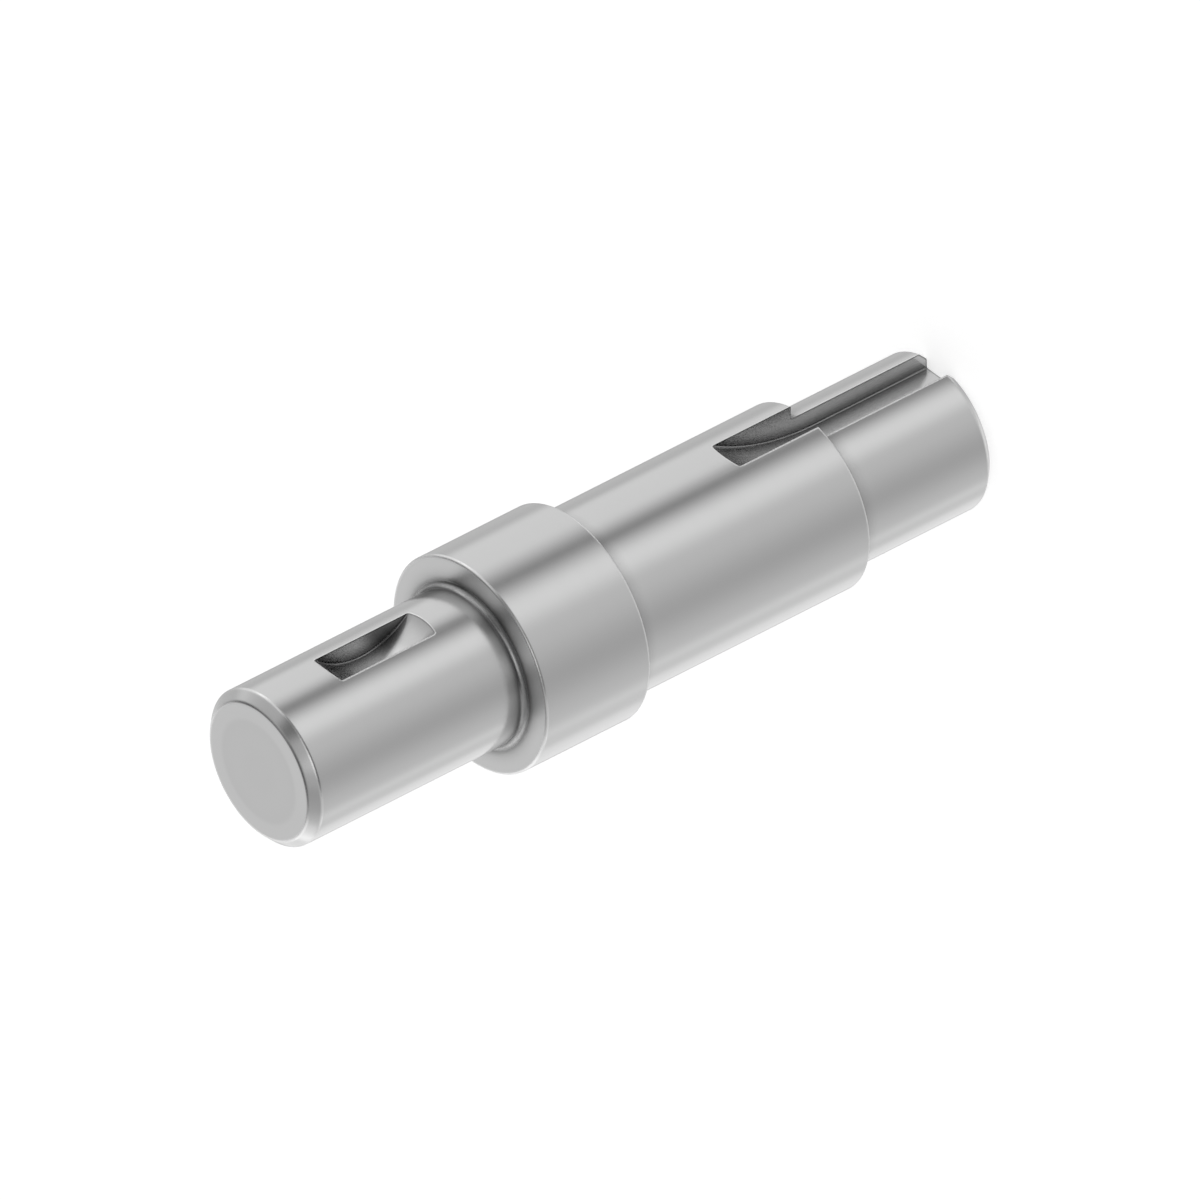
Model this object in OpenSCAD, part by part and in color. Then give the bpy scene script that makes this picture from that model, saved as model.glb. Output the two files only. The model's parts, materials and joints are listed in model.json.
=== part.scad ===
// Gearbox input shaft, turned from one bar and then milled for two keys.
// It stands on its drive end: Z runs up the axis, and both key slots open towards -Y.

/* [Hub end] */
// Diameter of the hub end, which carries a hub on a half-round key
hub_d = 25.25; // [22:0.05:30]
// Length of the hub end, from its end face to the collar
hub_l = 40.2; // [36:0.1:80]
// Radius of the fillet where the hub end meets the collar
hub_fillet = 1; // [0.3:0.05:2]

/* [Collar] */
// Diameter of the locating collar
collar_d = 34.9; // [32:0.1:60]
// Width of the collar
collar_w = 19.8; // [4:0.1:40]

/* [Bearing seat] */
// Diameter of the bearing seat
seat_d = 30; // [27:0.5:33]
// Length of the bearing seat, from the collar to the shoulder
seat_l = 44; // [24:0.5:100]
// Radius of the fillets at both ends of the bearing seat
shoulder_fillet = 0.5; // [0.2:0.05:1.5]

/* [Drive end] */
// Diameter of the drive end
drive_d = 25.4; // [22:0.1:28]
// Length of the drive end, from the shoulder to its end face
drive_l = 26; // [20:0.5:60]

/* [Edges] */
// Width of the 45 degree chamfer round both end faces
end_chamfer = 1.5; // [0.5:0.1:3]
// Radius that breaks the outer edges of the collar and the seat
edge_break = 0.2; // [0.1:0.05:0.5]

/* [Keyway] */
// Width of the keyway
keyway_w = 6.35; // [3:0.05:10]
// Depth of the keyway, below the crown of the drive end
keyway_depth = 3.58; // [2:0.01:5]
// Length of the flat floor, from the end face to the start of the run-out
keyway_l = 21.3; // [5:0.1:45]
// Diameter of the disc cutter, which curves the run-out up through the seat
keyway_cutter_d = 76.2; // [40:0.1:100]
// Radius between the keyway's floor and its walls
keyway_corner = 0.25; // [0.1:0.05:0.6]

/* [Keyseat] */
// Width of the half-round keyseat in the hub end
keyseat_w = 6.35; // [3:0.05:10]
// Depth of the keyseat, below the crown of the hub end
keyseat_depth = 4.1; // [2:0.05:6]
// Diameter of the disc cutter that is sunk to make the keyseat
keyseat_cutter_d = 25.4; // [18:0.1:40]
// Distance from the face of the hub end to the middle of the keyseat
keyseat_place = 22; // [12:0.1:27]
// Radius between the keyseat's floor and its walls
keyseat_corner = 0.25; // [0.1:0.05:0.6]

/* [Hidden] */
$fn = 128;

// Heights of the shoulders and of the top face above the face of the drive end
shoulder_z = drive_l;
collar_foot_z = shoulder_z + seat_l;
collar_top_z = collar_foot_z + collar_w;
top_z = collar_top_z + hub_l;

// Overrun of a cutting shape past the surface that it opens
overrun = 1;

// Patch between a right-angled corner at the origin and the arc that rounds it
module corner_patch(radius) {
    difference() {
        square(radius);
        translate([radius, radius]) circle(radius);
    }
}

// Material left in an inner corner of the half section, outwards from r and down from z
module fillet_below(r, z, radius) {
    translate([r, z]) mirror([0, 1]) corner_patch(radius);
}

// Material left in an inner corner of the half section, outwards from r and up from z
module fillet_above(r, z, radius) {
    translate([r, z]) corner_patch(radius);
}

// Waste at the lower outer edge of a step, inwards from r and up from z
module break_below(r, z) {
    translate([r, z]) mirror([1, 0]) corner_patch(edge_break);
}

// Waste at the upper outer edge of a step, inwards from r and down from z
module break_above(r, z) {
    translate([r, z]) rotate(180) corner_patch(edge_break);
}

// Stepped outline of the half section with the chamfers of both ends: radius along X, height along Y
module stepped_outline() {
    polygon([
        [0, 0],
        [drive_d / 2 - end_chamfer, 0],
        [drive_d / 2, end_chamfer],
        [drive_d / 2, shoulder_z],
        [seat_d / 2, shoulder_z],
        [seat_d / 2, collar_foot_z],
        [collar_d / 2, collar_foot_z],
        [collar_d / 2, collar_top_z],
        [hub_d / 2, collar_top_z],
        [hub_d / 2, top_z - end_chamfer],
        [hub_d / 2 - end_chamfer, top_z],
        [0, top_z]
    ]);
}

// The bar as it leaves the lathe
module turned_blank() {
    rotate_extrude() {
        difference() {
            union() {
                stepped_outline();
                fillet_below(drive_d / 2, shoulder_z, shoulder_fillet);
                fillet_below(seat_d / 2, collar_foot_z, shoulder_fillet);
                fillet_above(hub_d / 2, collar_top_z, hub_fillet);
            }
            break_below(seat_d / 2, shoulder_z);
            break_below(collar_d / 2, collar_foot_z);
            break_above(collar_d / 2, collar_top_z);
        }
    }
}

// Half section of a disc cutter: radius along X, thickness along Y, with its rim corners rounded
module cutter_section(radius, width, corner) {
    difference() {
        translate([0, -width / 2]) square([radius, width]);
        translate([radius, -width / 2]) mirror([1, 0]) corner_patch(corner);
        translate([radius, width / 2]) rotate(180) corner_patch(corner);
    }
}

// Disc cutter about the X axis, with the inmost point of its rim at the origin
module disc_cutter(diameter, width, corner) {
    translate([0, -diameter / 2, 0])
        rotate([0, 90, 0])
            rotate_extrude() cutter_section(diameter / 2, width, corner);
}

// Keyway: a straight run in from the end face, and the run-out that the disc leaves where it stops
module keyway() {
    floor_y = -(drive_d / 2 - keyway_depth);
    slot_h = seat_d / 2 + floor_y + overrun;
    translate([0, floor_y - slot_h, -overrun])
        linear_extrude(keyway_l + overrun)
            rotate(90) cutter_section(slot_h, keyway_w, keyway_corner);
    translate([0, floor_y, keyway_l]) disc_cutter(keyway_cutter_d, keyway_w, keyway_corner);
}

// Half-round keyseat: the same kind of disc, sunk straight in
module keyseat() {
    translate([0, -(hub_d / 2 - keyseat_depth), top_z - keyseat_place])
        disc_cutter(keyseat_cutter_d, keyseat_w, keyseat_corner);
}

// The finished shaft, in satin turned steel
module input_shaft() {
    color("silver")
        difference() {
            turned_blank();
            keyway();
            keyseat();
        }
}

input_shaft();
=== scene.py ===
"""Satin steel gearbox input shaft: turned from one bar, then milled for two keys."""

import json
import logging
import math
from abc import ABC, abstractmethod
from collections.abc import Sequence
from dataclasses import dataclass, field
from enum import Enum
from typing import Any

import bmesh
import bpy
from mathutils import Matrix, Vector


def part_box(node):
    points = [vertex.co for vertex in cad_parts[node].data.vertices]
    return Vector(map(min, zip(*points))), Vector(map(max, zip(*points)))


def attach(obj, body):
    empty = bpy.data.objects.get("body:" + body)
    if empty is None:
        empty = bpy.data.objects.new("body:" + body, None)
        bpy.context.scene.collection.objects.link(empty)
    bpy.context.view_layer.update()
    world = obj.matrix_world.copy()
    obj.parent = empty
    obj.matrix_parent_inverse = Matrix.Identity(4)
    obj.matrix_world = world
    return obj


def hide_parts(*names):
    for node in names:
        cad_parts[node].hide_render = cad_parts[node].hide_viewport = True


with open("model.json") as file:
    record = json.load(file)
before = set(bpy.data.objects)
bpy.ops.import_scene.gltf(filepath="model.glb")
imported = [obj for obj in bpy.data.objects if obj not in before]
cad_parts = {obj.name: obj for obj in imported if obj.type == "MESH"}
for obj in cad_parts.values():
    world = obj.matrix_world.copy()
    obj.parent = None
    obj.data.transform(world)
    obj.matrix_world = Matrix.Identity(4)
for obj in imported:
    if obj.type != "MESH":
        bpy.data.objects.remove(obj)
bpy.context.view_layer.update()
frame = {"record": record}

MM = 0.001
# Points nearer to each other than this are one point
SAME_PLACE = 0.001 * MM
# Half height of a card of the studio that reaches from straight below to straight above
WHOLE_HEIGHT = 90.0
LOG = logging.getLogger("input_shaft")


class Cut(Enum):
    """How a face of the shaft was cut. The value is the face's place in the material list."""

    TURNED = 0
    MILLED = 1
    MILLED_CORNER = 2


def hex_colour(text: str) -> tuple[float, float, float, float]:
    """Turns an sRGB colour into the linear one that a shader socket takes.

    Args:
        text: Six hex digits, red first.

    Returns:
        Linear red, green and blue, with an alpha of 1.
    """
    values = [int(text[place : place + 2], 16) / 255 for place in (0, 2, 4)]
    linear = [v / 12.92 if v <= 0.04045 else ((v + 0.055) / 1.055) ** 2.4 for v in values]
    return (linear[0], linear[1], linear[2], 1.0)


def add_node(tree: bpy.types.NodeTree, kind: str, **parts: Any) -> bpy.types.Node:
    """Adds one node, with its settings, its inputs and its links.

    Args:
        tree: The node tree to add to.
        kind: Blender's type name of the node.
        **parts: A setting by its own name, or an input as in_ and its index or its name with
            underscores for spaces. An input is a value, or an output socket to link from.

    Returns:
        The new node.
    """
    node = tree.nodes.new(kind)
    inputs = {}
    for name, value in parts.items():
        if name.startswith("in_"):
            inputs[name[3:]] = value
        else:
            setattr(node, name, value)
    for name, value in inputs.items():
        socket = node.inputs[int(name) if name.isdigit() else name.replace("_", " ")]
        if isinstance(value, bpy.types.NodeSocket):
            tree.links.new(value, socket)
        else:
            socket.default_value = value
    return node


def new_material(name: str) -> tuple[bpy.types.Material, bpy.types.NodeTree]:
    """Makes a material without nodes.

    Args:
        name: Name of the material.

    Returns:
        The material, and its empty node tree.
    """
    made = bpy.data.materials.new(name)
    made.use_nodes = True
    made.node_tree.nodes.clear()
    return made, made.node_tree


def as_object(made: bmesh.types.BMesh, name: str) -> bpy.types.Object:
    """Makes a smooth shaded object of a bmesh, and frees the bmesh.

    Args:
        made: The finished bmesh.
        name: Name of the object and of its mesh.

    Returns:
        The object, at the origin.
    """
    mesh = bpy.data.meshes.new(name)
    made.to_mesh(mesh)
    made.free()
    mesh.shade_smooth()
    piece = bpy.data.objects.new(name, mesh)
    bpy.context.scene.collection.objects.link(piece)
    return piece


def freeze(piece: bpy.types.Object) -> None:
    """Applies the modifiers of a piece to its mesh.

    Args:
        piece: The piece, which then has no modifiers.
    """
    graph = bpy.context.evaluated_depsgraph_get()
    mesh = bpy.data.meshes.new_from_object(piece.evaluated_get(graph))
    old = piece.data
    piece.modifiers.clear()
    piece.data = mesh
    bpy.data.meshes.remove(old)
    mesh.name = piece.name


def mount(name: str) -> dict[str, Any]:
    """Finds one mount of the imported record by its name."""
    return next(row for row in frame["record"]["mounts"] if row["name"] == name)


def mount_radius(name: str) -> float:
    """Gives the radius of a pin mount, in metres."""
    return mount(name)["dims"]["r_mm"] * MM


def mount_height(name: str) -> float:
    """Gives the height of a mount above the foot of the shaft, in metres."""
    return mount(name)["pos_m"][2]


@dataclass(frozen=True)
class PaintedCornerShade:
    """Painted shade in inner corners, where the steel is enclosed by other faces.

    The eye sees the steel darken over the last few millimetres before an inner corner. Openness
    is the share of free sky over a point, out to the reach: the painted shade is darkest where it
    is open_from and less, and ends where it is open_to.
    """

    reach_mm: float = 3.5
    open_from: float = 0.42
    open_to: float = 1.0
    darkest: float = 0.12
    fillet_reach_mm: float = 1.5
    fillet_openness: float = 0.91
    fillet_dark: float = 0.34
    shade_noise_mm: float = 0.15
    shade_noise_spread: float = 0.08
    samples: int = 6

    def openness(
        self, tree: bpy.types.NodeTree, reach_mm: float | None = None
    ) -> bpy.types.NodeSocket:
        """Finds how open the surface is.

        Args:
            tree: The material's node tree.
            reach_mm: How far to look, in millimetres, if that isn't the reach of the film.

        Returns:
            The openness: 1 in the open, and about a half in a square corner.
        """
        return add_node(
            tree, "ShaderNodeAmbientOcclusion", samples=self.samples, only_local=True,
            in_Distance=(reach_mm or self.reach_mm) * MM,
        ).outputs["AO"]

    def _shade_noise(self, tree: bpy.types.NodeTree) -> bpy.types.NodeSocket:
        """Makes the painted shade uneven, never below 0, so open faces stay unshaded.

        Args:
            tree: The material's node tree.

        Returns:
            What to add to the openness.
        """
        place = add_node(tree, "ShaderNodeTexCoord").outputs["Object"]
        # The painted shade is uneven in small blotches. The real grains are near a
        # hundredth of a millimetre, too fine for the picture
        noise = add_node(
            tree, "ShaderNodeTexNoise", in_Vector=place, in_Scale=1 / (self.shade_noise_mm * MM),
            in_Detail=1.0,
        ).outputs["Fac"]
        return add_node(
            tree, "ShaderNodeMath", operation="MULTIPLY", in_0=noise, in_1=self.shade_noise_spread
        ).outputs["Value"]

    def darken(
        self, tree: bpy.types.NodeTree, openness: bpy.types.NodeSocket, colour: Any
    ) -> bpy.types.NodeSocket:
        """Darkens a colour in inner corners with painted shade.

        Args:
            tree: The material's node tree.
            openness: How open the surface is.
            colour: The steel's colour without the painted shade, as a value or an output socket.

        Returns:
            The colour's output socket.
        """
        shade_noise = self._shade_noise(tree)
        wide = add_node(tree, "ShaderNodeMath", operation="ADD", in_0=openness, in_1=shade_noise)
        near = add_node(
            tree, "ShaderNodeMath", operation="ADD",
            in_0=self.openness(tree, self.fillet_reach_mm), in_1=shade_noise,
        )
        # Painted shade: darker towards inner corners, and in fillets
        corner_shade = add_node(
            tree, "ShaderNodeMapRange", interpolation_type="SMOOTHSTEP",
            in_Value=wide.outputs["Value"], in_From_Min=self.open_from,
            in_From_Max=self.open_to, in_To_Min=self.darkest, in_To_Max=1.0,
        )
        # A fillet is more open than the face next to it, and gets just as much painted shade
        fillet = add_node(
            tree, "ShaderNodeMapRange", in_Value=near.outputs["Value"],
            in_From_Min=self.fillet_openness, in_From_Max=1.0,
            in_To_Min=self.fillet_dark, in_To_Max=1.0,
        )
        shade_factor = add_node(
            tree, "ShaderNodeMath", operation="MINIMUM",
            in_0=corner_shade.outputs["Result"], in_1=fillet.outputs["Result"],
        )
        return add_node(
            tree, "ShaderNodeMix", data_type="RGBA", blend_type="MULTIPLY", in_0=1.0,
            in_6=colour, in_7=shade_factor.outputs["Value"],
        ).outputs[2]


@dataclass(frozen=True)
class PaintedEdgeHighlight:
    """A painted highlight along the outer edges, whose normal is rounded off as well.

    The eye sees a hair line along each edge, where the steel turns away and mirrors other things,
    and the colour is painted lighter there. The painted highlight is full where the steel has
    turned by full_at, as 1 less the cosine, and only where the surface is open, from open_from on.
    """

    reach_mm: float = 0.42
    samples: int = 4
    full_at: float = 0.03
    open_from: float = 0.85
    # Colour of the painted highlight
    colour: str = "FAFAFA"

    def round_off(self, tree: bpy.types.NodeTree) -> bpy.types.NodeSocket:
        """Rounds off the normal of the steel along its edges.

        Args:
            tree: The material's node tree.

        Returns:
            The normal's output socket.
        """
        return add_node(
            tree, "ShaderNodeBevel", samples=self.samples, in_Radius=self.reach_mm * MM
        ).outputs["Normal"]

    def brighten(
        self, tree: bpy.types.NodeTree, rounded: bpy.types.NodeSocket,
        openness: bpy.types.NodeSocket, colour: Any,
    ) -> bpy.types.NodeSocket:
        """Brightens a colour along the outer edges: a painted highlight.

        Args:
            tree: The material's node tree.
            rounded: The normal with the edges rounded off.
            openness: How open the surface is, which tells an outer edge from an inner one.
            colour: The steel's colour away from the edges, as a value or an output socket.

        Returns:
            The colour's output socket.
        """
        flat = add_node(tree, "ShaderNodeNewGeometry").outputs["Normal"]
        alike = add_node(
            tree, "ShaderNodeVectorMath", operation="DOT_PRODUCT", in_0=rounded, in_1=flat
        ).outputs["Value"]
        edge = add_node(
            tree, "ShaderNodeMapRange", in_Value=alike,
            in_From_Min=1.0, in_From_Max=1.0 - self.full_at, in_To_Min=0.0, in_To_Max=1.0,
        )
        outer = add_node(
            tree, "ShaderNodeMapRange", in_Value=openness, in_From_Min=self.open_from,
            in_From_Max=1.0, in_To_Min=0.0, in_To_Max=edge.outputs["Result"],
        )
        # Painted highlight: the colour goes nearly white along open outer edges
        return add_node(
            tree, "ShaderNodeMix", data_type="RGBA", in_0=outer.outputs["Result"],
            in_6=colour, in_7=hex_colour(self.colour),
        ).outputs[2]


@dataclass(frozen=True)
class TurnedSteel:
    """Medium carbon steel, turned to size and rubbed to a satin with fine emery.

    The eye sees a pale neutral grey that mirrors the studio softly. The tool's feed leaves faint
    rings, round the cylinders and concentric on the faces, and each end face has a little painted
    shade towards its middle, which makes it slightly darker there.
    """

    name: str = "turned satin steel"
    colour: str = "D3D3D3"
    # Colour of the painted shade in the middle of each end face
    middle_shade_colour: str = "CDCDCD"
    corner: PaintedCornerShade = PaintedCornerShade()
    edge: PaintedEdgeHighlight = PaintedEdgeHighlight()
    roughness: float = 0.18
    face_roughness: float = 0.30
    face_from: float = 0.97
    feed_mm: float = 0.3
    feed_height_mm: float = 0.0003
    ring_slant: float = -0.8
    band_mm: float = 2.4
    band_roughness: float = 0.015
    middle_shade_share: float = 0.75
    middle_shade_soft_mm: float = 0.5

    def material(self, face_radius: float) -> bpy.types.Material:
        """Makes the material.

        Args:
            face_radius: Radius of the flat of an end face, in metres.

        Returns:
            The finished material.
        """
        # Fine turning and emery give the eye an even, pale grey with soft reflections
        made, tree = new_material(self.name)
        place = add_node(tree, "ShaderNodeTexCoord").outputs["Object"]
        axes = add_node(tree, "ShaderNodeSeparateXYZ", in_Vector=place)
        flat = add_node(
            tree, "ShaderNodeCombineXYZ", in_X=axes.outputs["X"], in_Y=axes.outputs["Y"]
        )
        radius = add_node(
            tree, "ShaderNodeVectorMath", operation="LENGTH", in_0=flat.outputs["Vector"]
        ).outputs["Value"]
        # The tool's path: along the axis on a cylinder, and towards it on a face. The slant isn't
        # quite -1, which would leave the drive end's chamfer without rings
        travel = add_node(
            tree, "ShaderNodeMath", operation="MULTIPLY_ADD",
            in_0=radius, in_1=self.ring_slant, in_2=axes.outputs["Z"],
        ).outputs["Value"]
        feed = self._rings(tree, travel, self.feed_mm)
        bands = self._rings(tree, travel, self.band_mm)
        middle_shade = self._painted_middle_shade(tree, radius, face_radius)
        # Painted shade: the middle of each end face is a little darker
        colour = add_node(
            tree, "ShaderNodeMix", data_type="RGBA", in_0=middle_shade,
            in_6=hex_colour(self.colour), in_7=hex_colour(self.middle_shade_colour),
        )
        rough = add_node(
            tree, "ShaderNodeMath", operation="MULTIPLY_ADD", in_0=bands,
            in_1=2 * self.band_roughness, in_2=self._rougher_faces(tree),
        )
        # The colour gets a painted highlight along outer edges and painted shade in inner corners
        rounded = self.edge.round_off(tree)
        openness = self.corner.openness(tree)
        shining = self.edge.brighten(tree, rounded, openness, colour.outputs[2])
        bump = add_node(
            tree, "ShaderNodeBump", in_Height=feed, in_Strength=1.0,
            in_Distance=self.feed_height_mm * MM, in_Normal=rounded,
        )
        shader = add_node(
            tree, "ShaderNodeBsdfPrincipled", in_Metallic=1.0,
            in_Base_Color=self.corner.darken(tree, openness, shining),
            in_Roughness=rough.outputs["Value"],
            in_Normal=bump.outputs["Normal"],
        )
        add_node(tree, "ShaderNodeOutputMaterial", in_Surface=shader.outputs["BSDF"])
        return made

    def _rings(
        self, tree: bpy.types.NodeTree, travel: bpy.types.NodeSocket, pitch_mm: float
    ) -> bpy.types.NodeSocket:
        """Makes uneven rings along the tool's path.

        Args:
            tree: The material's node tree.
            travel: How far the tool has gone, in metres.
            pitch_mm: Mean distance between rings, in millimetres.

        Returns:
            A value from 0 to 1.
        """
        noise = add_node(
            tree, "ShaderNodeTexNoise", noise_dimensions="1D", in_W=travel,
            in_Scale=1 / (pitch_mm * MM), in_Detail=2.0, in_Roughness=0.6,
        )
        return noise.outputs["Fac"]

    def _rougher_faces(self, tree: bpy.types.NodeTree) -> bpy.types.NodeSocket:
        """Makes the faces rougher: they are only turned, and the cylinders are rubbed as well.

        Args:
            tree: The material's node tree.

        Returns:
            The roughness where the bands are smoothest.
        """
        normal = add_node(tree, "ShaderNodeNewGeometry").outputs["Normal"]
        rise = add_node(tree, "ShaderNodeSeparateXYZ", in_Vector=normal).outputs["Z"]
        level = add_node(tree, "ShaderNodeMath", operation="ABSOLUTE", in_0=rise)
        return add_node(
            tree, "ShaderNodeMapRange", in_Value=level.outputs["Value"],
            in_From_Min=self.face_from, in_From_Max=1.0,
            in_To_Min=self.roughness - self.band_roughness,
            in_To_Max=self.face_roughness - self.band_roughness,
        ).outputs["Result"]

    def _painted_middle_shade(
        self, tree: bpy.types.NodeTree, radius: bpy.types.NodeSocket, face_radius: float
    ) -> bpy.types.NodeSocket:
        """Finds the middle of both end faces, which gets painted shade.

        Args:
            tree: The material's node tree.
            radius: Distance from the shaft's axis, in metres.
            face_radius: Radius of the flat of an end face, in metres.

        Returns:
            1 on the middle of an end face, and 0 elsewhere.
        """
        edge = face_radius * self.middle_shade_share
        soft = self.middle_shade_soft_mm * MM
        inside = add_node(
            tree, "ShaderNodeMapRange", interpolation_type="SMOOTHSTEP", in_Value=radius,
            in_From_Min=edge - soft, in_From_Max=edge + soft, in_To_Min=1.0, in_To_Max=0.0,
        )
        return inside.outputs["Result"]


@dataclass(frozen=True)
class MilledSteel:
    """The same steel where a disc cutter has gone through it.

    The eye sees a slightly darker and duller grey, with the cutter's fine marks across the slot,
    and painted shade as a dark line along its mouth. That painted line starts where the rounded
    normal and the flat one are as alike as the first value of rim_alike, and is full at the
    second.
    """

    name: str = "milled steel"
    colour: str = "CFCFCF"
    corner: PaintedCornerShade = PaintedCornerShade(
        open_from=0.3, darkest=0.2, fillet_dark=0.65, shade_noise_spread=0.02, samples=16
    )
    roughness: float = 0.22
    mark_mm: float = 0.35
    mark_height_mm: float = 0.0001
    rim_mm: float = 0.5
    rim_samples: int = 4
    rim_alike: tuple[float, float] = (0.98, 0.935)
    rim_dark: float = 0.2

    def material(self) -> bpy.types.Material:
        """Makes the material.

        Returns:
            The finished material.
        """
        # The disc cutter gives the eye a duller and slightly darker grey
        made, tree = new_material(self.name)
        place = add_node(tree, "ShaderNodeTexCoord").outputs["Object"]
        axes = add_node(tree, "ShaderNodeSeparateXYZ", in_Vector=place)
        marks = add_node(
            tree, "ShaderNodeTexNoise", noise_dimensions="1D",
            in_W=axes.outputs["Z"], in_Scale=1 / (self.mark_mm * MM), in_Detail=2.0,
        )
        bump = add_node(
            tree, "ShaderNodeBump", in_Height=marks.outputs["Fac"], in_Strength=1.0,
            in_Distance=self.mark_height_mm * MM,
        )
        # The base colour carries painted shade in inner corners and along the slot's mouth
        shader = add_node(
            tree, "ShaderNodeBsdfPrincipled", in_Metallic=1.0,
            in_Base_Color=self.corner.darken(
                tree, self.corner.openness(tree), self._painted_rim_shade(tree)
            ),
            in_Roughness=self.roughness, in_Normal=bump.outputs["Normal"],
        )
        add_node(tree, "ShaderNodeOutputMaterial", in_Surface=shader.outputs["BSDF"])
        return made

    def _painted_rim_shade(self, tree: bpy.types.NodeTree) -> bpy.types.NodeSocket:
        """Darkens the walls along the mouth of a slot: a painted shade line.

        Args:
            tree: The material's node tree.

        Returns:
            The colour's output socket.
        """
        rounded = add_node(
            tree, "ShaderNodeBevel", samples=self.rim_samples, in_Radius=self.rim_mm * MM
        ).outputs["Normal"]
        flat = add_node(tree, "ShaderNodeNewGeometry").outputs["Normal"]
        alike = add_node(
            tree, "ShaderNodeVectorMath", operation="DOT_PRODUCT", in_0=rounded, in_1=flat
        ).outputs["Value"]
        kept = add_node(
            tree, "ShaderNodeMapRange", in_Value=alike, in_From_Min=self.rim_alike[0],
            in_From_Max=self.rim_alike[1], in_To_Min=1.0, in_To_Max=self.rim_dark,
        )
        # The painted shade line multiplies the milled colour
        return add_node(
            tree, "ShaderNodeMix", data_type="RGBA", blend_type="MULTIPLY", in_0=1.0,
            in_6=hex_colour(self.colour), in_7=kept.outputs["Result"],
        ).outputs[2]


@dataclass(frozen=True)
class Rounding:
    """How a corner of the half section is rounded.

    It reaches equally far along both lines that meet in the corner. Where they meet squarely,
    that is its radius.
    """

    reach_mm: float
    segments: int


@dataclass(frozen=True)
class Corner:
    """One corner of the half section, in metres from the axis and above the foot."""

    radius: float
    height: float
    rounding: Rounding | None = None


@dataclass
class TurnedBlank:
    """The bar as it leaves the lathe: three bearing surfaces and a locating collar."""

    drive_radius: float = field(default_factory=lambda: mount_radius("drive_end"))
    seat_radius: float = field(default_factory=lambda: mount_radius("bearing_seat"))
    hub_radius: float = field(default_factory=lambda: mount_radius("hub_end"))
    collar_radius: float = field(default_factory=lambda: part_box("input_shaft")[1].x)
    shoulder: float = field(default_factory=lambda: mount_height("drive_shoulder"))
    collar_foot: float = field(default_factory=lambda: mount_height("bearing_shoulder"))
    collar_top: float = field(default_factory=lambda: mount_height("collar_face"))
    top: float = field(default_factory=lambda: mount_height("hub_end_face"))
    chamfer_mm: float = 1.5
    chamfer_inner_edge: Rounding = Rounding(0.3, 4)
    chamfer_outer_edge: Rounding = Rounding(0.2, 4)
    edge_break: Rounding = Rounding(0.25, 5)
    collar_break: Rounding = Rounding(0.4, 6)
    seat_fillet: Rounding = Rounding(0.5, 6)
    hub_fillet: Rounding = Rounding(1.0, 8)
    steps: int = 128

    @property
    def face_radius(self) -> float:
        """Radius of the flat of the hub end's face, in metres."""
        return self.hub_radius - self.chamfer_mm * MM

    def corners(self) -> list[Corner]:
        """Lists the corners of the half section.

        Returns:
            The corners, from the foot to the top.
        """
        chamfer = self.chamfer_mm * MM
        inner, outer = self.chamfer_inner_edge, self.chamfer_outer_edge
        return [
            Corner(0, 0),
            Corner(self.drive_radius - chamfer, 0, inner),
            Corner(self.drive_radius, chamfer, outer),
            Corner(self.drive_radius, self.shoulder, self.seat_fillet),
            Corner(self.seat_radius, self.shoulder, self.edge_break),
            Corner(self.seat_radius, self.collar_foot, self.seat_fillet),
            Corner(self.collar_radius, self.collar_foot, self.edge_break),
            Corner(self.collar_radius, self.collar_top, self.collar_break),
            Corner(self.hub_radius, self.collar_top, self.hub_fillet),
            Corner(self.hub_radius, self.top - chamfer, outer),
            Corner(self.hub_radius - chamfer, self.top, inner),
            Corner(0, self.top),
        ]

    def section(self) -> bmesh.types.BMesh:
        """Draws the half section, with its corners rounded.

        Returns:
            One line of edges, from the foot to the top.
        """
        drawn = bmesh.new()
        corners = self.corners()
        verts = [drawn.verts.new((c.radius, 0, c.height)) for c in corners]
        for lower, upper in zip(verts, verts[1:]):
            drawn.edges.new((lower, upper))
        for vert, corner in zip(verts, corners):
            rounding = corner.rounding
            if rounding is not None:
                bmesh.ops.bevel(
                    drawn, geom=[vert], offset=rounding.reach_mm * MM, offset_type="OFFSET",
                    segments=rounding.segments, profile=0.5, affect="VERTICES", material=-1,
                )
        return drawn

    def build(self) -> bpy.types.Object:
        """Spins the half section into the blank.

        Returns:
            The blank.
        """
        made = self.section()
        # Half a step of turn keeps the walls of the slots away from the edges of the facets
        step = math.tau / self.steps
        bmesh.ops.rotate(
            made, verts=made.verts[:], cent=(0, 0, 0), matrix=Matrix.Rotation(step / 2, 3, "Z")
        )
        bmesh.ops.spin(
            made, geom=made.verts[:] + made.edges[:], cent=(0, 0, 0), axis=(0, 0, 1),
            angle=math.tau, steps=self.steps, use_merge=True,
        )
        bmesh.ops.remove_doubles(made, verts=made.verts[:], dist=SAME_PLACE)
        poles = [v for v in made.verts if v.co.xy.length < SAME_PLACE]
        bmesh.ops.dissolve_verts(made, verts=poles)
        bmesh.ops.recalc_face_normals(made, faces=made.faces[:])
        return as_object(made, "turned_blank")


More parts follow.
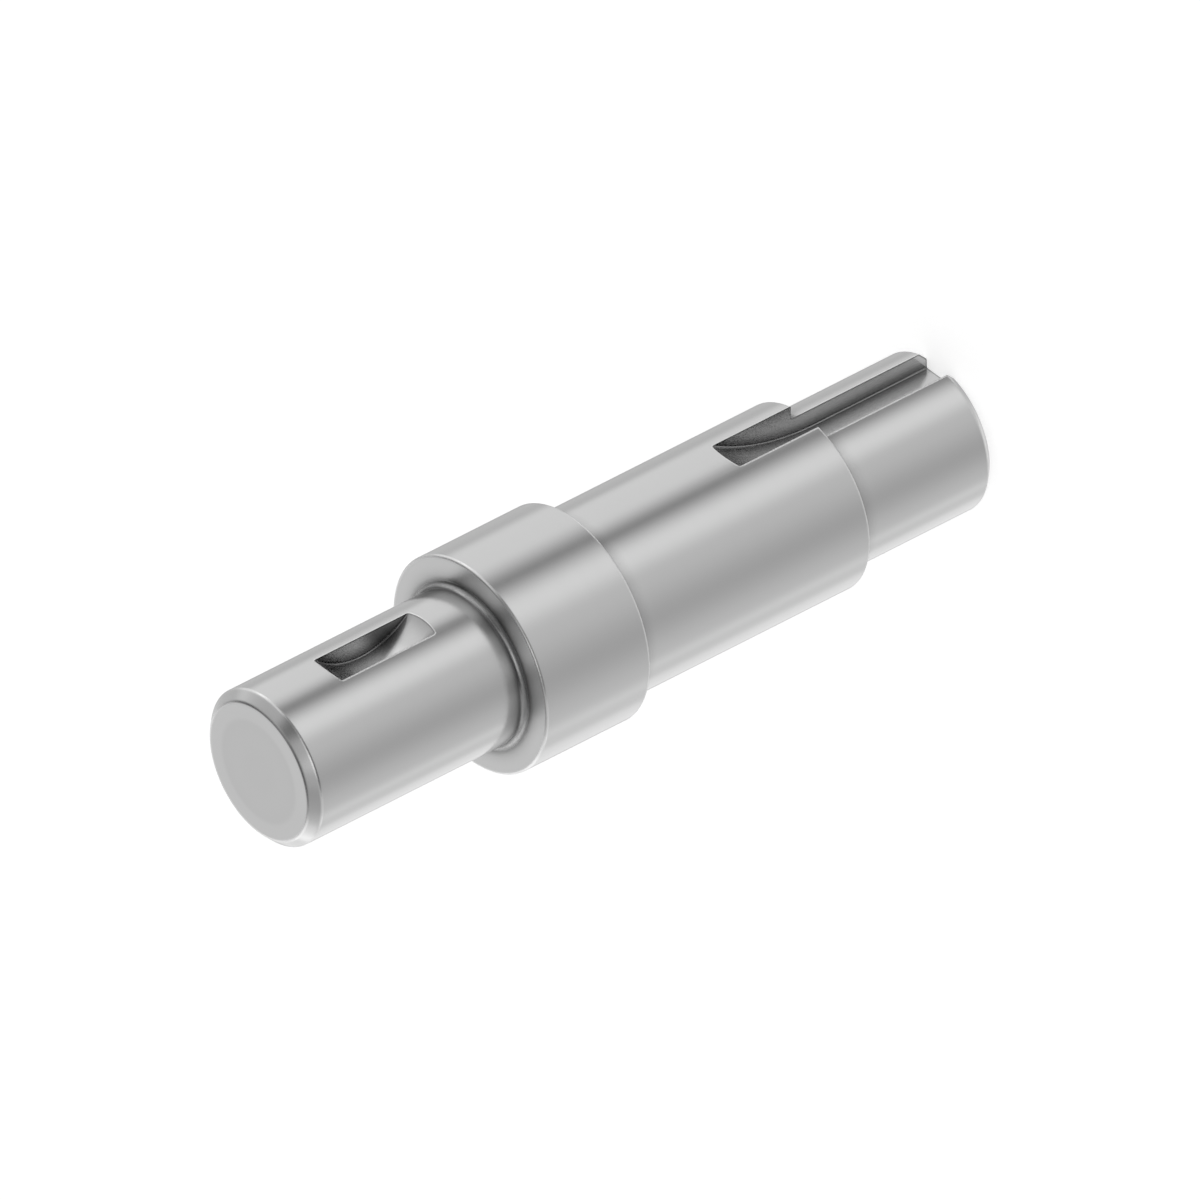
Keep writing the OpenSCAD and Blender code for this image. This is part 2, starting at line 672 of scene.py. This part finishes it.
@dataclass
class Slot(ABC):
    """A slot that a disc cutter leaves in the shaft. Its mount gives how deep it is, and where."""

    mount_name: str
    cutter_radius_mm: float
    segments: int
    width_mm: float = 6.35
    corner_mm: float = 0.25
    corner_segments: int = 4

    @property
    def floor(self) -> float:
        """Distance of the slot's deepest line from the axis, in metres, towards -Y."""
        return mount(self.mount_name)["pos_m"][1]

    @abstractmethod
    def build(self) -> bpy.types.Object:
        """Makes the cutting shape, which is what the slot takes away."""

    @staticmethod
    def mark_milled(cutter: bmesh.types.BMesh) -> None:
        """Marks all faces of the cutting shape as ones that leave a milled face."""
        for face in cutter.faces:
            face.material_index = Cut.MILLED.value

    def round_floor(self, cutter: bmesh.types.BMesh, edges: Sequence[bmesh.types.BMEdge]) -> None:
        """Rounds the edges that leave the small radii between the floor and the walls.

        Args:
            cutter: The cutting shape.
            edges: The edges along both sides of its rim.
        """
        rounded = bmesh.ops.bevel(
            cutter, geom=list(edges), offset=self.corner_mm * MM, offset_type="OFFSET",
            segments=self.corner_segments, profile=0.5, affect="EDGES", material=-1,
            clamp_overlap=False,
        )
        for face in rounded["faces"]:
            face.material_index = Cut.MILLED_CORNER.value


@dataclass
class Keyseat(Slot):
    """The half-round keyseat of the hub end: a disc, sunk straight in."""

    mount_name: str = "keyseat"
    cutter_radius_mm: float = 12.7
    segments: int = 180

    def build(self) -> bpy.types.Object:
        """Makes the cutting shape: the disc cutter itself, at its full depth.

        Returns:
            The cutting shape.
        """
        cutter = bmesh.new()
        radius = self.cutter_radius_mm * MM
        bmesh.ops.create_cone(
            cutter, cap_ends=True, segments=self.segments,
            radius1=radius, radius2=radius, depth=self.width_mm * MM,
            matrix=Matrix.Translation((0, self.floor - radius, mount_height(self.mount_name)))
            @ Matrix.Rotation(math.pi / 2, 4, "Y"),
        )
        ends = [f for f in cutter.faces if len(f.verts) == self.segments]
        self.mark_milled(cutter)
        self.round_floor(cutter, [e for end in ends for e in end.edges])
        bmesh.ops.recalc_face_normals(cutter, faces=cutter.faces[:])
        return as_object(cutter, "keyseat_cutter")


@dataclass
class Keyway(Slot):
    """The keyway of the drive end: a straight floor, and the disc's run-out where it stops."""

    mount_name: str = "keyway"
    cutter_radius_mm: float = 38.1
    segments: int = 44
    floor_length_mm: float = 21.3
    run_out_deg: float = 44.0
    overrun_mm: float = 3.0

    def build(self) -> bpy.types.Object:
        """Makes the cutting shape: its outline on one side of the slot, drawn out to the other.

        Returns:
            The cutting shape.
        """
        cutter = bmesh.new()
        half = self.width_mm * MM / 2
        radius = self.cutter_radius_mm * MM
        turn = self.floor_length_mm * MM
        outer = self.floor - radius
        start = cutter.verts.new((-half, self.floor, turn))
        # The arc of the run-out, from the end of the straight floor out through the surface
        arc = bmesh.ops.spin(
            cutter, geom=[start], cent=(-half, outer, turn), axis=(1, 0, 0),
            angle=math.radians(self.run_out_deg), steps=self.segments, use_merge=False,
        )
        last = arc["geom_last"][0]
        foot = cutter.verts.new((-half, self.floor, -self.overrun_mm * MM))
        out_foot = cutter.verts.new((-half, last.co.y, foot.co.z))
        for ends in ((start, foot), (foot, out_foot), (out_foot, last)):
            cutter.edges.new(ends)
        side = bmesh.ops.contextual_create(cutter, geom=cutter.edges[:])["faces"]
        across = bmesh.ops.extrude_face_region(cutter, geom=side)
        moved = [g for g in across["geom"] if isinstance(g, bmesh.types.BMVert)]
        bmesh.ops.translate(cutter, verts=moved, vec=(2 * half, 0, 0))
        bmesh.ops.recalc_face_normals(cutter, faces=cutter.faces[:])
        floor_line = [
            e for e in cutter.edges
            if abs(e.verts[0].co.x - e.verts[1].co.x) < half
            and all(v.co.y > outer and self._on_floor(v.co) for v in e.verts)
        ]
        self.mark_milled(cutter)
        self.round_floor(cutter, floor_line)
        bmesh.ops.recalc_face_normals(cutter, faces=cutter.faces[:])
        return as_object(cutter, "keyway_cutter")

    def _on_floor(self, place: Vector) -> bool:
        """Tells whether a point lies on the straight floor or on the run-out's arc.

        Args:
            place: A point on one side of the slot, in metres.

        Returns:
            True where it does.
        """
        radius = self.cutter_radius_mm * MM
        turn = self.floor_length_mm * MM
        if place.z <= turn:
            return abs(place.y - self.floor) < SAME_PLACE
        reach = math.hypot(place.y - (self.floor - radius), place.z - turn)
        return abs(reach - radius) < SAME_PLACE


@dataclass
class InputShaft:
    """The whole shaft: the blank with both slots cut, in satin steel.

    Edges that turn by more than sharp_deg stay crisp.
    """

    blank: TurnedBlank = field(default_factory=TurnedBlank)
    slots: Sequence[Slot] = field(default_factory=lambda: (Keyway(), Keyseat()))
    turned: TurnedSteel = TurnedSteel()
    milled: MilledSteel = MilledSteel()
    # The corner radii get less painted shade than the walls, so they look a little lighter
    milled_corner: MilledSteel = MilledSteel(
        name="milled steel corner radii",
        corner=PaintedCornerShade(
            open_from=0.3, darkest=0.3, fillet_dark=0.75, shade_noise_spread=0.02, samples=16
        ),
    )
    sharp_deg: float = 28.0

    def build(self) -> bpy.types.Object:
        """Cuts the slots, finishes the edges and the faces, and hangs the piece on its body.

        Returns:
            The finished shaft.
        """
        piece = self.blank.build()
        piece.name = "shaft"
        steels = {
            Cut.TURNED: self.turned.material(self.blank.face_radius),
            Cut.MILLED: self.milled.material(),
            Cut.MILLED_CORNER: self.milled_corner.material(),
        }
        for cut in Cut:
            piece.data.materials.append(steels[cut])
        for slot in self.slots:
            cutter = slot.build()
            for cut in Cut:
                cutter.data.materials.append(steels[cut])
            self.mill(piece, cutter)
        self.even_shading(piece)
        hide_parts("input_shaft")
        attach(piece, "root")
        return piece

    @staticmethod
    def mill(piece: bpy.types.Object, cutter: bpy.types.Object) -> None:
        """Cuts one slot, and removes the cutting shape.

        Args:
            piece: The shaft so far.
            cutter: The cutting shape. Its materials go to the faces that it leaves.
        """
        modifier = piece.modifiers.new("slot", "BOOLEAN")
        modifier.operation = "DIFFERENCE"
        modifier.solver = "EXACT"
        modifier.material_mode = "TRANSFER"
        modifier.object = cutter
        freeze(piece)
        bpy.data.objects.remove(cutter)

    def even_shading(self, piece: bpy.types.Object) -> None:
        """Keeps the edges that the milling leaves crisp, and the flats and cylinders even.

        Args:
            piece: The shaft with its slots cut.
        """
        piece.data.set_sharp_from_angle(angle=math.radians(self.sharp_deg))
        even = piece.modifiers.new("even shading", "WEIGHTED_NORMAL")
        even.mode = "FACE_AREA"
        even.weight = 50
        even.keep_sharp = True
        freeze(piece)


@dataclass(frozen=True)
class Sky:
    """The direction that the world is asked for, as sockets of the world's nodes.

    way is the direction, level_way its level part at length 1, rise its elevation in radians, and
    narrowing how much a step in azimuth counts there.
    """

    way: bpy.types.NodeSocket
    level_way: bpy.types.NodeSocket
    rise: bpy.types.NodeSocket
    narrowing: bpy.types.NodeSocket

    @classmethod
    def of(cls, tree: bpy.types.NodeTree, reference: float) -> "Sky":
        """Adds the nodes that find the direction.

        Args:
            tree: The world's node tree.
            reference: Elevation where a step in azimuth counts as it is, in degrees.

        Returns:
            The direction.
        """
        way = add_node(tree, "ShaderNodeTexCoord").outputs["Generated"]
        axes = add_node(tree, "ShaderNodeSeparateXYZ", in_Vector=way)
        level = add_node(
            tree, "ShaderNodeCombineXYZ", in_X=axes.outputs["X"], in_Y=axes.outputs["Y"]
        ).outputs["Vector"]
        level_way = add_node(tree, "ShaderNodeVectorMath", operation="NORMALIZE", in_0=level)
        length = add_node(tree, "ShaderNodeVectorMath", operation="LENGTH", in_0=level)
        narrowing = add_node(
            tree, "ShaderNodeMath", operation="DIVIDE", in_0=length.outputs["Value"],
            in_1=math.cos(math.radians(reference)),
        )
        rise = add_node(tree, "ShaderNodeMath", operation="ARCSINE", in_0=axes.outputs["Z"])
        return cls(
            way, level_way.outputs["Vector"], rise.outputs["Value"], narrowing.outputs["Value"]
        )


class CardShape(Enum):
    """What a card of the studio looks like from the shaft."""

    UPRIGHT = "upright"
    ROUND = "round"


@dataclass(frozen=True)
class Card:
    """A card or a soft box of the studio, which steel mirrors as a darker or a lighter patch.

    The azimuth is counted from +X towards +Y, and all angles are in degrees. An upright card
    keeps its width all the way up, and reaches from straight below to straight above where it
    has no other half height. Between its half width less the softness and its half width plus
    it, a card fades out. Its light multiplies what is there without it.
    """

    azimuth: float
    half_width: float
    softness: float
    light: float
    shape: CardShape = CardShape.UPRIGHT
    elevation: float = 0.0
    half_height: float = WHOLE_HEIGHT

    def towards(self) -> Vector:
        """Finds the way to the middle of the card, or for an upright card the level way to it.

        Returns:
            The direction, of length 1.
        """
        upright = self.shape is CardShape.UPRIGHT
        turn, rise = math.radians(self.azimuth), 0.0 if upright else math.radians(self.elevation)
        return Vector(
            (math.cos(turn) * math.cos(rise), math.sin(turn) * math.cos(rise), math.sin(rise))
        )

    def fade(
        self, tree: bpy.types.NodeTree, off: bpy.types.NodeSocket, half: float
    ) -> bpy.types.NodeSocket:
        """Makes the soft edge of the card.

        Args:
            tree: The world's node tree.
            off: How far a direction lies from the card's middle, in radians.
            half: Half of the card's size, in degrees.

        Returns:
            1 on the card, and 0 beside it.
        """
        return add_node(
            tree, "ShaderNodeMapRange", interpolation_type="SMOOTHSTEP", in_Value=off,
            in_From_Min=math.radians(half - self.softness),
            in_From_Max=math.radians(half + self.softness), in_To_Min=1.0, in_To_Max=0.0,
        ).outputs["Result"]

    def cover(self, tree: bpy.types.NodeTree, sky: Sky) -> bpy.types.NodeSocket:
        """Finds where the card is.

        Args:
            tree: The world's node tree.
            sky: The direction to look in.

        Returns:
            1 on the card, and 0 beside it.
        """
        upright = self.shape is CardShape.UPRIGHT
        facing = add_node(
            tree, "ShaderNodeVectorMath", operation="DOT_PRODUCT",
            in_0=sky.level_way if upright else sky.way, in_1=self.towards(),
        )
        off = add_node(
            tree, "ShaderNodeMath", operation="ARCCOSINE", in_0=facing.outputs["Value"]
        ).outputs["Value"]
        if upright:
            # It keeps its width where it rises, so it spans more azimuth there
            off = add_node(
                tree, "ShaderNodeMath", operation="MULTIPLY", in_0=off, in_1=sky.narrowing
            ).outputs["Value"]
        covered = self.fade(tree, off, self.half_width)
        if self.half_height == WHOLE_HEIGHT:
            return covered
        above = add_node(
            tree, "ShaderNodeMath", operation="SUBTRACT", in_0=sky.rise,
            in_1=math.radians(self.elevation),
        )
        off = add_node(
            tree, "ShaderNodeMath", operation="ABSOLUTE", in_0=above.outputs["Value"]
        ).outputs["Value"]
        return add_node(
            tree, "ShaderNodeMath", operation="MULTIPLY", in_0=covered,
            in_1=self.fade(tree, off, self.half_height),
        ).outputs["Value"]


@dataclass
class Studio:
    """A white studio: soft light from all round, dark cards, a pale floor and the camera."""

    cards: Sequence[Card] = (
        Card(azimuth=179.0, half_width=58.5, softness=13.0, light=0.72),
        Card(azimuth=176.5, half_width=23.0, softness=25.0, light=0.73),
        Card(azimuth=12.5, half_width=20.5, softness=8.5, light=0.65),
        Card(azimuth=103.5, half_width=9.5, softness=6.0, light=0.81),
        Card(azimuth=-33.0, half_width=36.0, softness=29.0, light=0.91),
        Card(-76.5, 9.5, 19.0, 0.16, CardShape.UPRIGHT, -35.0, 42.0),
        Card(-138.0, 61.5, 14.0, 0.18, CardShape.UPRIGHT, 5.0, 20.0),
        Card(43.0, 18.0, 6.0, 0.74, CardShape.UPRIGHT, -41.0, 27.5),
        Card(2.0, 45.0, 15.5, 0.51, CardShape.ROUND, 70.0),
        Card(-97.0, 15.5, 6.0, 0.23, CardShape.ROUND, 43.0),
        Card(102.5, 37.5, 6.0, 0.68, CardShape.ROUND, 44.5),
        Card(88.5, 18.0, 6.0, 1.82, CardShape.ROUND, 24.5),
        Card(-161.0, 13.5, 6.0, 2.0, CardShape.ROUND, 42.0),
        Card(9.5, 12.0, 5.0, 0.24, CardShape.ROUND, 41.0),
        Card(19.5, 8.0, 6.0, 0.65, CardShape.ROUND, 20.5),
        Card(8.0, 14.0, 6.0, 0.60, CardShape.ROUND, 56.0),
        Card(78.0, 12.0, 5.0, 0.45, CardShape.ROUND, 66.0),
        Card(-42.0, 9.0, 8.0, 1.90, CardShape.ROUND, -3.0),
        Card(45.0, 14.0, 10.0, 1.15, CardShape.ROUND, 31.0),
        Card(0.0, 32.0, 10.0, 1.60, CardShape.ROUND, -90.0),
    )
    white: str = "FFFFFF"
    light: float = 1.0
    floor_size: float = 4.0
    floor_colour: str = "F2F2F2"
    floor_glow: float = 0.64
    azimuth: float = -45.0
    elevation: float = 31.07
    roll: float = -116.79
    image_px: float = 1200.0
    px_per_mm: float = 6.859
    aim_px: tuple[float, float] = (0.47, -0.37)
    distance: float = 1.0

    def build(self, height: float) -> None:
        """Makes the light, the floor and the camera.

        Args:
            height: Height of the object, in metres.
        """
        self.add_light()
        self.add_floor()
        self.add_camera(height)

    def add_light(self) -> None:
        """Makes the world: white to the camera, and white with its cards in what is mirrored."""
        world = bpy.data.worlds.new("white studio")
        bpy.context.scene.world = world
        world.use_nodes = True
        tree = world.node_tree
        tree.nodes.clear()
        sky = Sky.of(tree, self.elevation)
        light: Any = self.light
        for card in self.cards:
            kept = add_node(
                tree, "ShaderNodeMath", operation="MULTIPLY_ADD",
                in_0=card.cover(tree, sky), in_1=card.light - 1.0, in_2=1.0,
            )
            light = add_node(
                tree, "ShaderNodeMath", operation="MULTIPLY", in_0=light,
                in_1=kept.outputs["Value"],
            ).outputs["Value"]
        path = add_node(tree, "ShaderNodeLightPath")
        strength = add_node(
            tree, "ShaderNodeMix", data_type="FLOAT", in_0=path.outputs["Is Camera Ray"],
            in_2=light, in_3=1.0,
        )
        shown = add_node(
            tree, "ShaderNodeBackground", in_Color=hex_colour(self.white),
            in_Strength=strength.outputs[0],
        )
        add_node(tree, "ShaderNodeOutputWorld", in_Surface=shown.outputs["Background"])

    def add_floor(self) -> None:
        """Makes the floor, which shows the camera white with the shaft's soft shadow on it."""
        made = bmesh.new()
        bmesh.ops.create_grid(made, x_segments=1, y_segments=1, size=self.floor_size / 2)
        floor = as_object(made, "floor")
        # Matt paint gives the eye a plain white ground, with no gloss
        pale, tree = new_material("matt white paint")
        path = add_node(tree, "ShaderNodeLightPath")
        matt = add_node(tree, "ShaderNodeBsdfDiffuse", in_Color=hex_colour(self.floor_colour))
        glow = add_node(
            tree, "ShaderNodeEmission", in_Color=hex_colour(self.white),
            in_Strength=self.floor_glow,
        )
        lit = add_node(
            tree, "ShaderNodeAddShader", in_0=matt.outputs["BSDF"], in_1=glow.outputs["Emission"]
        )
        seen = add_node(
            tree, "ShaderNodeMixShader", in_0=path.outputs["Is Camera Ray"],
            in_1=matt.outputs["BSDF"], in_2=lit.outputs["Shader"],
        )
        clear = add_node(tree, "ShaderNodeBsdfTransparent")
        # Steel mirrors the white studio below it, and not the floor
        mirrored = add_node(
            tree, "ShaderNodeMixShader", in_0=path.outputs["Is Glossy Ray"],
            in_1=seen.outputs["Shader"], in_2=clear.outputs["BSDF"],
        )
        add_node(tree, "ShaderNodeOutputMaterial", in_Surface=mirrored.outputs["Shader"])
        floor.data.materials.append(pale)

    def add_camera(self, height: float) -> None:
        """Makes the camera, in parallel projection.

        Args:
            height: Height of the object, in metres. Its middle is near the image's middle.
        """
        data = bpy.data.cameras.new("camera")
        data.type = "ORTHO"
        data.ortho_scale = self.image_px / self.px_per_mm * MM
        camera = bpy.data.objects.new("camera", data)
        bpy.context.scene.collection.objects.link(camera)
        turn = (
            Matrix.Rotation(math.radians(self.azimuth), 4, "Z")
            @ Matrix.Rotation(math.radians(90 - self.elevation), 4, "X")
            @ Matrix.Rotation(math.radians(self.roll), 4, "Z")
        )
        pixel = MM / self.px_per_mm
        aside = turn @ Vector((self.aim_px[0] * pixel, self.aim_px[1] * pixel, self.distance))
        camera.matrix_world = Matrix.Translation(Vector((0, 0, height / 2)) + aside) @ turn
        bpy.context.scene.camera = camera


def report(piece: bpy.types.Object) -> None:
    """Logs what a piece measures, and whether its mesh is closed.

    Args:
        piece: The finished piece.
    """
    check = bmesh.new()
    check.from_mesh(piece.data)
    open_edges = sum(1 for e in check.edges if not e.is_manifold)
    triangles = sum(len(f.verts) - 2 for f in check.faces)
    size = " x ".join(f"{v / MM:.2f}" for v in piece.dimensions)
    LOG.info("%s: %s mm, %d triangles, %d open edges", piece.name, size, triangles, open_edges)
    check.free()


def main() -> None:
    """Builds the shaft and the studio."""
    logging.basicConfig(level=logging.INFO, format="%(message)s")
    bpy.context.scene.view_settings.view_transform = "Standard"
    shaft = InputShaft()
    report(shaft.build())
    Studio().build(shaft.blank.top)


if __name__ == "__main__":
    main()
